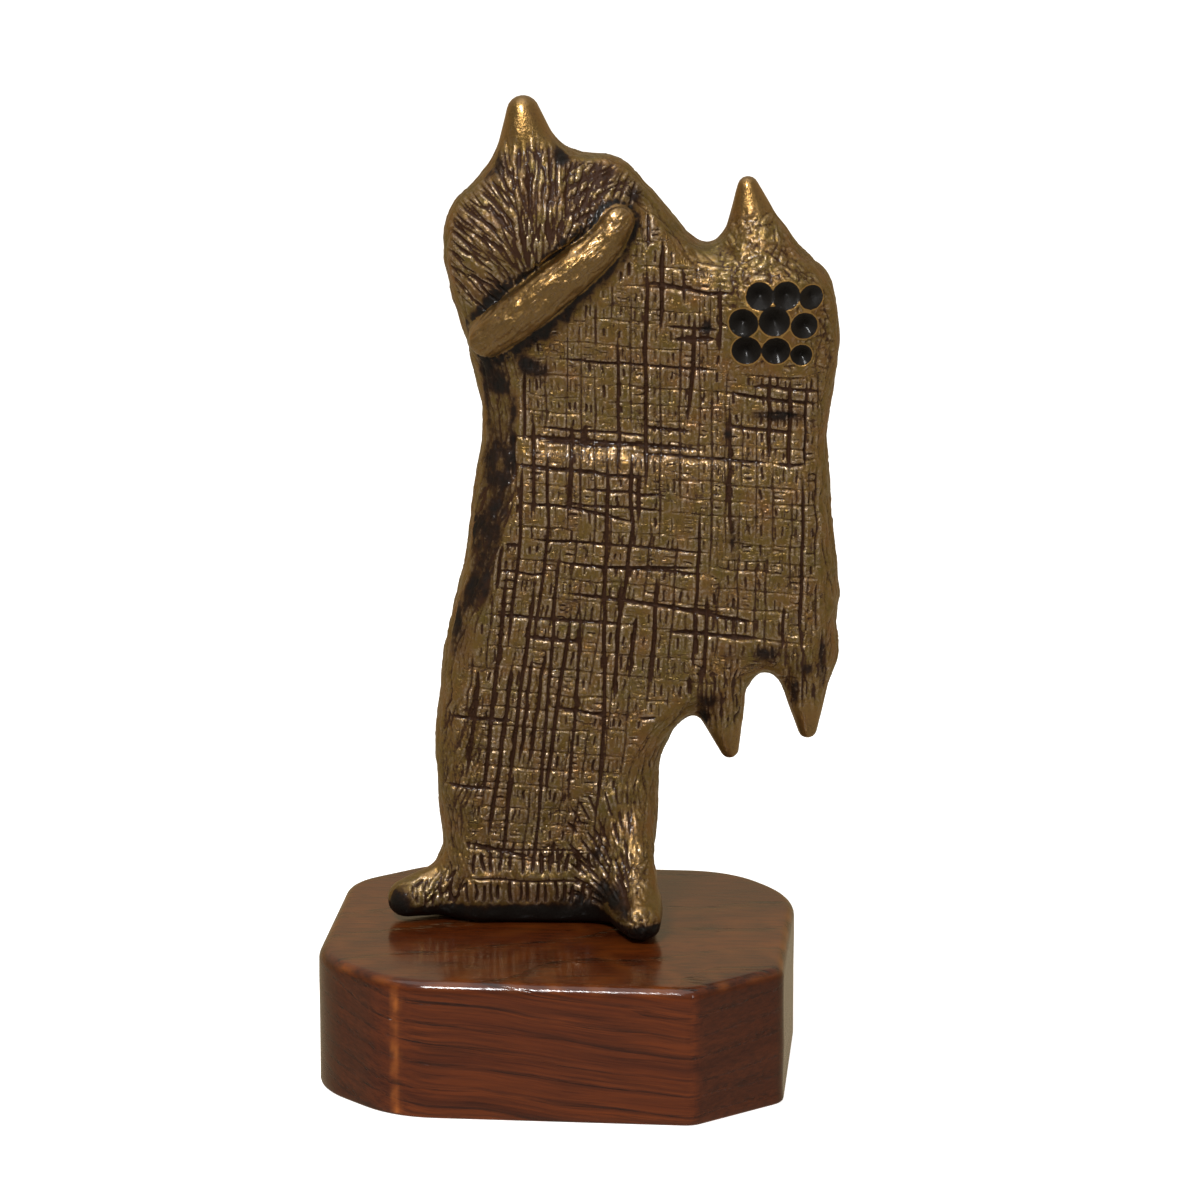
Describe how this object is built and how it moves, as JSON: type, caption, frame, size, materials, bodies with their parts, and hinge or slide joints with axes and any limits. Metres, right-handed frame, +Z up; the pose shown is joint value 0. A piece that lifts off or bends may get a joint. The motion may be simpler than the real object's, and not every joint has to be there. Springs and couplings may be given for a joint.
{
  "type": "abstract bronze statuette on wooden block",
  "caption": "Slab-like cast bronze figure with peaks, hanging points, a slanting roll and drilled pits, on a varnished octagonal wooden block.",
  "frame": {"origin": "middle of the wooden block's underside", "axes": "+Z up, the front of the figure looks along -Y, its hanging points are on the +X side"},
  "size_m": [0.1093, 0.086, 0.209],
  "materials": {
    "patinated_bronze": "cast bronze, dark brown patina in the scored lines, worn golden on the high places",
    "stained_wood": "coarse-grained hardwood, red-brown stain, glossy lacquer"
  },
  "bodies": {
    "root": {"bronze_figure": "patinated_bronze", "wooden_base": "stained_wood"}
  },
  "joints": []
}
